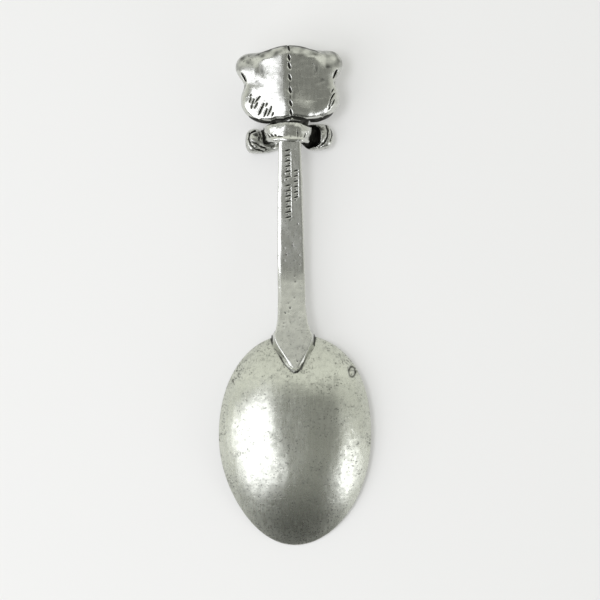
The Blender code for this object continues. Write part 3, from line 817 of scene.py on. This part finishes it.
def head_field(block):
    """The whole head in its own frame: back and face on one outline, ears, muzzle, nose and eyes."""
    x, y, z = block.axes
    angle = np.degrees(np.arctan2(y, np.abs(x)))
    edge = np.hypot(x, y) - head_radius(angle)
    across, along = np.gradient(edge[..., 0], HEAD_STEP)
    steep = np.clip(np.hypot(across, along), 1, 1.6)[..., None] - 1
    edge = edge / (1 + steep * smooth_step(np.hypot(x, y), 5.0, 7.5))
    inset = parting_inset(angle)
    slope = np.where(x < RIDGE_X, LEFT_ROOF_SLOPE, RIGHT_ROOF_SLOPE)
    roof = BACK_HEIGHT - slope * (np.sqrt((x - RIDGE_X) ** 2 + ROOF_ROUNDING**2) - ROOF_ROUNDING)
    reach = SHOULDER_REACH + RIGHT_CHEEK_REACH * smooth_step(x, 3.0, 7.0) * smooth_step(-y, 1.0, 4.0)
    roof = roof - ROOF_BOW * (y - 0.5) ** 2 - SHOULDER_FALL * np.maximum(0, reach + edge) ** 2
    fall = 2 * SHOULDER_FALL * np.maximum(0, reach + edge)
    back = soft_max((z - roof) / np.sqrt(1 + slope**2 + fall**2), edge + inset, BACK_ROUNDING)
    depth = FACE_DEPTH - FACE_BOW * (x * x + (y - 1) ** 2)
    face = soft_max(-z - depth, edge, FACE_ROUNDING)
    field = np.where(z > 0, back, face)

    def feature(centre, radii, side=1):
        return ellipsoid(x, y, z, (side * centre[0], *centre[1:]), radii)

    field = soft_min(field, feature(*MUZZLE), 0.7)
    for side in (-1, 1):
        ear = soft_max(feature(*EAR, side), -feature(*EAR_HOLLOW, side), 0.5)
        field = soft_min(field, ear, 2.1)
        field = soft_max(field, -feature(*EYE_SOCKET, side), 0.4)
        field = soft_min(field, feature(*EYE, side), 0.1)
    field = soft_min(field, feature(*NOSE), 0.25)
    groove = PARTING_GROOVE * bell(z / PARTING_GROOVE)
    field = field + groove * smooth_step(edge, -1.5, -0.5)
    field = field + head_back_relief(x, y) * smooth_step(z, 0.3, 1.2)
    return field + face_relief(x, y) * smooth_step(-z, 0.3, 1.2)


def head_wear_and_shade(points, wear_and_shade):
    """Adds the head's patina and painted shade: painted shade under the chin, a clouded crown and ears, and
    a painted dark line of shade along the back's rounded edge.
    """
    x, y, z = points.T
    angle = np.degrees(np.arctan2(y, np.abs(x)))
    edge = np.hypot(x, y) - head_radius(angle)
    # Painted shade under the chin: darker along the head's lower edge.
    wear_and_shade = wear_and_shade - CHIN_PAINTED_SHADE * smooth_step(edge, -1.2, -0.5) * smooth_step(-y, 6.2, 7.4)
    clouded = CLOUD_DULL + unevenness(points, CLOUD_RIPPLE)
    ears = smooth_step(np.abs(x), 6.6, 8.4) * smooth_step(y, 2.2, 3.8)
    shaded = np.maximum(smooth_step(y, 5.3, 6.4), ears) * smooth_step(z, 0.3, 1.2)
    wear_and_shade = wear_and_shade + shaded * (np.minimum(wear_and_shade, -clouded) - wear_and_shade)
    from_ear = np.hypot(np.abs(x) - EAR_CENTRE[0], y - EAR_CENTRE[1]) - EAR_RADIUS
    shoulder = edge + parting_inset(angle)
    # Painted shade: a dark line along the back's rounded edge, fainter on the crown and kept off the ears.
    outline = smooth_step(shoulder, -0.4, -0.18) * (1 - smooth_step(shoulder, -0.1, -0.02))
    outline = outline * smooth_step(from_ear, 0.0, 0.4) * smooth_step(z, 0.1, 0.3)
    fainter = (OUTLINE_PAINTED_SHADE - CROWN_OUTLINE_PAINTED_SHADE) * smooth_step(y, 4.0, 6.0)
    return wear_and_shade - (OUTLINE_PAINTED_SHADE - fainter) * outline


def make_head():
    """Meshes the whole head at once and parts it where the CAD is parted, so that the seams are tight."""
    block = Block((-12.4, -9.6, -7.6), (12.4, 9.2, BACK_HEIGHT + 0.5), HEAD_STEP)
    field = head_field(block)
    notch = neck_field(block, 0.1)
    field = soft_max(field, -notch, 0.3)
    points, quads, wear_and_shade = skin_of(block, field)
    middles = points[quads].mean(axis=1)
    ear_side = np.zeros(len(quads), int)
    for side in (-1, 1):
        away = np.hypot(middles[:, 0] - side * EAR_CENTRE[0], middles[:, 1] - EAR_CENTRE[1])
        ear_side[(away < EAR_RADIUS + 0.6) & (middles[:, 2] > -3.2)] = side
    wear_and_shade = head_wear_and_shade(points, wear_and_shade)
    points = points + unevenness(points, *HEAD_RIPPLES)[:, None] * outward(points, quads)
    cos, sin = math.cos(HEAD_ROLL), math.sin(HEAD_ROLL)
    x, y, z = points.T
    points = np.stack([x * cos - y * sin, x * sin + y * cos, z], axis=-1) + HEAD_CENTRE
    parts = [
        ("head_back", "head", "head", (ear_side == 0) & (middles[:, 2] >= 0)),
        ("head_front", "face", "face", (ear_side == 0) & (middles[:, 2] < 0)),
        ("ear_left", "ears", "ear", ear_side == -1),
        ("ear_right", "ears", "ear", ear_side == 1),
    ]
    for node, slot, finish, keep in parts:
        casting(node, finish, points, quads, wear_and_shade, keep)


def outward(points, quads):
    """Each point's outward direction."""
    corners = points[quads]
    normal = np.cross(corners[:, 2] - corners[:, 0], corners[:, 3] - corners[:, 1])
    total = np.zeros_like(points)
    for corner in range(4):
        for axis in range(3):
            total[:, axis] += np.bincount(quads[:, corner], normal[:, axis], len(points))
    return total / np.maximum(np.linalg.norm(total, axis=1, keepdims=True), 1e-9)


# ---- neck and collar

NECK_X = (NECK_LOW[0] + NECK_HIGH[0]) / 2
NECK_HALF_DEPTH = (NECK_HIGH[2] - NECK_LOW[2]) / 2
NECK_TOP_HALF_WIDTH = (NECK_HIGH[0] - NECK_LOW[0]) / 2
NECK_BOTTOM_HALF_WIDTH = 3.6
COLLAR_MIDDLE_Y, COLLAR_HALF_LENGTH, COLLAR_THICKNESS = 35.3, 1.6, 1.05
COLLAR_CREST_RISE, COLLAR_SLOPE = 1.5, -0.04
NECK_STEP, NECK_HALF_LENGTH, NECK_PATINA_AND_SHADE = 0.12, 2.9, 0.5
RIBBON_STEP, RIBBON_MARGIN = 0.08, 0.7
# (arc length round the neck, height above the lower edge, lean, length, depth)
COLLAR_CREASES = (
    (2.2, 1.5, 0.6, 1.4, 0.1), (3.3, 0.8, -0.5, 1.4, 0.1), (4.6, 0.9, 0.3, 2.2, 0.1),
    (7.4, 1.2, 1.1, 0.1, 0.1), (8.7, 1.3, 0.5, 0.4, 0.12), (9.3, 1.2, 0.8, 0.6, 0.08),
    (10.4, 1.2, 0.7, 1.0, 0.08), (11.4, 1.3, 0.5, 1.2, 0.08),
)
COLLAR_CREASE_WIDTH, COLLAR_RIPPLE, COLLAR_CRUMPLE = 0.42, (0.05, 2.6, 41), (3.2, 42)


def neck_half_width(y):
    share = np.clip((y - NECK_LOW[1]) / (NECK_HIGH[1] - NECK_LOW[1]), -0.5, 1)
    return NECK_BOTTOM_HALF_WIDTH + share * (NECK_TOP_HALF_WIDTH - NECK_BOTTOM_HALF_WIDTH)


def round_neck(x, y, z):
    """Nearly the distance from the neck's skin, in the spoon's frame, and the angle round the neck."""
    half = neck_half_width(y)
    across, deep = (x - NECK_X) / half, (z - PARTING_Z) / NECK_HALF_DEPTH
    return from_round_skin((across, deep), (half, NECK_HALF_DEPTH)), np.arctan2(deep, across)


def neck_field(block, swell):
    """The neck's plug in the head's own frame."""
    x, y, z = block.axes
    y = y + HEAD_CENTRE[1]
    away, _ = round_neck(x, y, z + PARTING_Z)
    return soft_max(away - swell, y - NECK_HIGH[1] - swell, 0.3)


def make_neck():
    block = Block(NECK_LOW - 0.5, NECK_HIGH + 0.5, NECK_STEP)
    away, _ = round_neck(*block.axes)
    along = np.abs(block.axes[1] - (NECK_LOW[1] + NECK_HIGH[1]) / 2)
    points, quads, wear_and_shade = skin_of(block, soft_max(away + 0.05, along - NECK_HALF_LENGTH, 0.4))
    # Patina and painted shade: the whole neck is darkened below the chin and collar.
    casting("neck", "neck", points, quads, wear_and_shade - NECK_PATINA_AND_SHADE)


def make_collar():
    """A ribbon band round the neck, creased and a little uneven along its edges."""
    block = Block(COLLAR_LOW - RIBBON_MARGIN, COLLAR_HIGH + RIBBON_MARGIN, RIBBON_STEP)
    x, y, z = block.axes
    away, angle = round_neck(x, y, z)
    rise = COLLAR_CREST_RISE * np.maximum(0, np.sin(angle)) ** 2
    sway = 0.12 * np.sin(5 * angle + 0.6) + 0.06 * np.sin(11 * angle)
    top = COLLAR_MIDDLE_Y + COLLAR_HALF_LENGTH + rise + COLLAR_SLOPE * x + sway
    bottom = COLLAR_MIDDLE_Y - COLLAR_HALF_LENGTH + COLLAR_SLOPE * x - 0.7 * sway
    thickness = COLLAR_THICKNESS + 0.05 * np.sin(3 * angle) + 0.6 * bell((np.abs(angle) - math.pi) / 0.6)
    middle = (top + bottom) / 2
    half = (top - bottom) / 2
    across = (y - middle) / half
    rolls = 0.16 * bell((across - 0.35) / 0.45) + 0.2 * bell((across + 0.75) / 0.22)
    field = soft_max(away - thickness - rolls + 0.1, 0.1 - away, 0.3)
    field = soft_max(field, np.abs(y - middle) - half, 0.4)
    arc = angle * (NECK_HALF_DEPTH + NECK_TOP_HALF_WIDTH) / 2
    low = COLLAR_MIDDLE_Y - COLLAR_HALF_LENGTH
    creases = [
        ((at, low + from_y), (at + lean, low + from_y + length), COLLAR_CREASE_WIDTH, deep)
        for at, from_y, lean, length, deep in COLLAR_CREASES
    ]
    field = field + engraved(arc, y, creases) * smooth_step(away, 0.3, 0.7)
    points, quads, wear_and_shade = skin_of(block, field)
    creases = crumple(points, *COLLAR_CRUMPLE)
    uneven = unevenness(points, COLLAR_RIPPLE) - 0.03 * creases
    points, wear_and_shade = points + uneven[:, None] * outward(points, quads), wear_and_shade - 0.35 * creases
    casting("collar", "collar", points, quads, wear_and_shade)


# ---- bow

FLOOR_GAP = 0.02
LOOP_RIPPLE, LOOP_CRUMPLE = (0.07, 2.8, 51), (3.4, 52)
# (corners, width, depth) of the creases on each loop
LEFT_LOOP_CREASES = (
    (((-7.7, 36.4), (-8.9, 35.9), (-9.2, 34.6), (-8.75, 33.3), (-7.8, 32.4), (-6.2, 32.0)), 0.42, 0.2),
    (((-8.6, 33.9), (-7.6, 33.6), (-6.7, 33.0), (-5.6, 32.6)), 0.5, 0.16),
    (((-6.9, 36.0), (-6.7, 35.1), (-6.9, 34.4)), 0.42, 0.14),
    (((-5.5, 32.2), (-4.2, 32.5), (-3.0, 32.4)), 0.4, 0.22),
)
RIGHT_LOOP_CREASES = (
    (((7.9, 37.4), (8.2, 36.2), (8.15, 34.9), (7.5, 33.6), (6.2, 32.6)), 0.5, 0.22),
    (((8.95, 36.6), (9.2, 35.3), (8.7, 33.9)), 0.3, 0.12),
    (((6.7, 33.9), (6.3, 33.4)), 0.3, 0.2),
)
KNOT_BOXINESS, PLEAT_DEPTH, PLEAT_PITCH = 3.2, 0.12, 0.9


def super_ball(x, y, z, centre, radii, power):
    """Nearly the distance from the skin of a ball that a higher power makes boxier."""
    unit = [np.abs(p - c) / r for p, c, r in zip((x, y, z), centre, radii, strict=True)]
    return (sum(u**power for u in unit) ** (1 / power) - 1) * min(radii)


def loop_block(node):
    """The block of space round a loop, the loop's CAD box and the height of its middle."""
    low, high = cad_box(node)
    return Block(low - RIBBON_MARGIN, high + RIBBON_MARGIN, RIBBON_STEP), low, high, (low[2] + high[2]) / 2


def finish_loop(node, block, field, pit):
    """Crumples the loop's skin, paints dark patina and shade into its hollow and lays it on the floor."""
    points, quads, wear_and_shade = skin_of(block, field)
    creases = crumple(points, *LOOP_CRUMPLE)
    uneven = unevenness(points, LOOP_RIPPLE) - 0.05 * creases
    # Dark patina and painted shade: the skin inside pit, the loop's hollow beside the collar, is darkened.
    wear_and_shade = wear_and_shade - 0.3 * creases - 2 * smooth_step(-block.sample(pit, points), -0.25, 0.05)
    points = points + uneven[:, None] * outward(points, quads)
    points[:, 2] = np.maximum(points[:, 2], FLOOR_GAP)
    casting(node, "bow", points, quads, wear_and_shade)


def make_left_loop():
    """An upright loop seen from its end, with a beaded rim, whose tail runs in below the collar."""
    block, low, _, middle = loop_block("bow_loop_left")
    x, y, z = block.axes
    plump = super_ball(x, y, z, (low[0] + 2.0, 34.15, middle), (2.05, 2.72, 2.5), 2.4)
    tail_centre = (-5.0, 32.75 + 0.12 * (x + 5), middle - 0.5)
    tail = super_ball(x, y, z + 0.35 * (x + 7), tail_centre, (2.9, 1.15, 1.8), 2.4)
    inner = super_ball(x, y, z, (-4.9, 34.9, 1.7), (2.4, 1.9, 1.5), 2.6)
    field = soft_min(soft_min(plump, tail, 0.7), inner, 0.3)
    # Painted shade: the left loop is darkened inside this ball, beside the collar.
    shade = super_ball(x, y, z, (-4.8, 35.4, 2.0), (1.6, 1.6, 3.0), 3.0)
    relief = sum(trail(x, y, *crease) for crease in LEFT_LOOP_CREASES)
    finish_loop("bow_loop_left", block, field + relief * smooth_step(z, middle, middle + 0.8), shade)


def make_right_loop():
    """A loop bent back on itself: a crescent of ribbon round a deep dark hollow beside the collar."""
    block, low, high, middle = loop_block("bow_loop_right")
    x, y, z = block.axes
    radii = ((high[0] - low[0]) / 2, (high[1] - low[1]) / 2 + 0.05, (high[2] - low[2]) / 2 - 0.05)
    plump = super_ball(x, y, z, ((low[0] + high[0]) / 2, (low[1] + high[1]) / 2, middle), radii, 2.5)
    pit = super_ball(x, y, z, (4.5, 35.1, high[2] + 0.3), (2.15, 2.6, 3.9), 2.6)
    pit = soft_min(pit, super_ball(x, y, z, (3.2, 33.3, high[2]), (1.8, 1.35, 3.6), 2.2), 0.3)
    relief = sum(trail(x, y, *crease) for crease in RIGHT_LOOP_CREASES)
    field = soft_max(plump + relief * smooth_step(z, middle, middle + 0.8), -pit, 0.35)
    # finish_loop paints this hollow dark with patina and painted shade, below the collar's side.
    finish_loop("bow_loop_right", block, field, pit)


def make_knot():
    """The bow's knot: a rounded block with the ribbon's pleats running into both sides."""
    block = Block(KNOT_LOW - 0.5, KNOT_HIGH + 0.5, RIBBON_STEP)
    middle, half = (KNOT_LOW + KNOT_HIGH) / 2, (KNOT_HIGH - KNOT_LOW) / 2
    x, y, z = block.axes
    field = super_ball(x, y, z, middle, half, KNOT_BOXINESS)
    pleats = PLEAT_DEPTH * np.cos((x - middle[0]) * 2 * math.pi / PLEAT_PITCH) ** 2
    field = field + pleats * smooth_step(np.abs(z - middle[2]), 0.2, 0.8)
    points, quads, wear_and_shade = skin_of(block, field)
    casting("bow_knot", "bow", points, quads, wear_and_shade)


# ---- studio

FLOOR_REACH = 3.0
FLOOR_COLOUR, FLOOR_GLOW, FLOOR_GLOW_STRENGTH = (0.49, 0.49, 0.482, 1), (1.0, 1.0, 0.984, 1), 0.285
LIGHT_COLOUR, ROOM_TINT = (0.98, 0.98, 1.04), (1.0, 1.01, 0.93)
# (direction's share along the axis, brightness) of the room, along the spoon and across it
ROOM_ALONG = (
    (-1.0, 0.06), (-0.9, 0.08), (-0.81, 0.15), (-0.7, 0.19), (-0.59, 0.27), (-0.47, 0.32), (-0.25, 0.33),
    (-0.08, 0.26), (0.1, 0.24), (0.21, 0.35), (0.26, 0.58), (0.31, 0.92), (0.5, 0.92), (1.0, 0.8),
)
ROOM_ACROSS = (
    (-0.95, 0.78), (-0.87, 0.5), (-0.78, 0.25), (-0.6, 0.0),
    (0.0, 0.0), (0.6, 0.1), (0.8, 0.55), (0.93, 0.7),
)


def make_floor():
    """A plain pale floor that gives off a little light, which keeps the shadows on it pale."""
    size = FLOOR_REACH
    corners = [(-size, -size, 0), (size, -size, 0), (size, size, 0), (-size, size, 0)]
    mesh = bpy.data.meshes.new("floor")
    mesh.from_pydata(corners, [], [(0, 1, 2, 3)])
    floor = bpy.data.objects.new("floor", mesh)
    bpy.context.scene.collection.objects.link(floor)
    paper = bpy.data.materials.new("paper")
    paper.use_nodes = True
    set_inputs(paper.node_tree.nodes["Principled BSDF"], {
        "Base Color": FLOOR_COLOUR,
        "Emission Color": FLOOR_GLOW,
        "Emission Strength": FLOOR_GLOW_STRENGTH,
        "Roughness": 0.9,
        "Specular IOR Level": 0.1,
    })
    mesh.materials.append(paper)


def soft_box(name, lean, turn, size, distance, radiance, mirrored=True):
    """A soft box aimed at the spoon.

    lean is the angle from straight up to its middle, and turn the compass angle of that lean, from +X
    towards +Y. size is its width along the lean and its length across it.
    """
    data = bpy.data.lights.new(name, "AREA")
    data.shape = "RECTANGLE"
    data.size, data.size_y = size
    data.color = LIGHT_COLOUR
    data.energy = radiance * math.pi * size[0] * size[1]
    light = bpy.data.objects.new(name, data)
    light.matrix_world = (
        Matrix.Rotation(math.radians(turn), 4, "Z")
        @ Matrix.Rotation(math.radians(lean), 4, "Y")
        @ Matrix.Translation((0, 0, distance))
    )
    light.visible_glossy = mirrored
    bpy.context.scene.collection.objects.link(light)


def make_world():
    """A dim room: pale towards the spoon's head and low on both sides, dark towards the tip of its bowl."""
    world = bpy.data.worlds.new("room")
    bpy.context.scene.world = world
    world.use_nodes = True
    tree = world.node_tree
    link = tree.links.new
    coordinates = tree.nodes.new("ShaderNodeTexCoord")
    split = tree.nodes.new("ShaderNodeSeparateXYZ")
    link(coordinates.outputs["Generated"], split.inputs[0])

    def ramp(axis, stops):
        shift = tree.nodes.new("ShaderNodeMapRange")
        shift.inputs["From Min"].default_value = -1
        made = tree.nodes.new("ShaderNodeValToRGB")
        link(split.outputs[axis], shift.inputs["Value"])
        link(shift.outputs[0], made.inputs["Fac"])
        elements = made.color_ramp.elements
        while len(elements) < len(stops):
            elements.new(0.5)
        for element, (position, value) in zip(elements, stops, strict=True):
            element.position = (position + 1) / 2
            element.color = (*(value * tint for tint in ROOM_TINT), 1)
        return made.outputs["Color"]

    lengthways = ramp("Y", ROOM_ALONG)
    sideways = ramp("X", ROOM_ACROSS)
    lighter = tree.nodes.new("ShaderNodeMix")
    lighter.data_type, lighter.blend_type = "RGBA", "LIGHTEN"
    lighter.inputs["Factor"].default_value = 1.0
    link(lengthways, lighter.inputs["A"])
    link(sideways, lighter.inputs["B"])
    link(lighter.outputs["Result"], tree.nodes["Background"].inputs["Color"])


def make_studio():
    make_floor()
    make_world()
    soft_box("left_soft_box", lean=45, turn=203, size=(0.58, 0.48), distance=0.6, radiance=2.1)
    soft_box("right_soft_box", lean=69, turn=-31, size=(0.21, 0.27), distance=0.6, radiance=2.3)
    fill_size = (0.25, 0.35)
    soft_box("overhead_fill", lean=14, turn=165, size=fill_size, distance=1.1, radiance=17.0, mirrored=False)
    bpy.context.scene.view_settings.view_transform = "Standard"


make_bowl()
make_stem()
make_head()
make_neck()
make_collar()
make_left_loop()
make_right_loop()
make_knot()
make_studio()
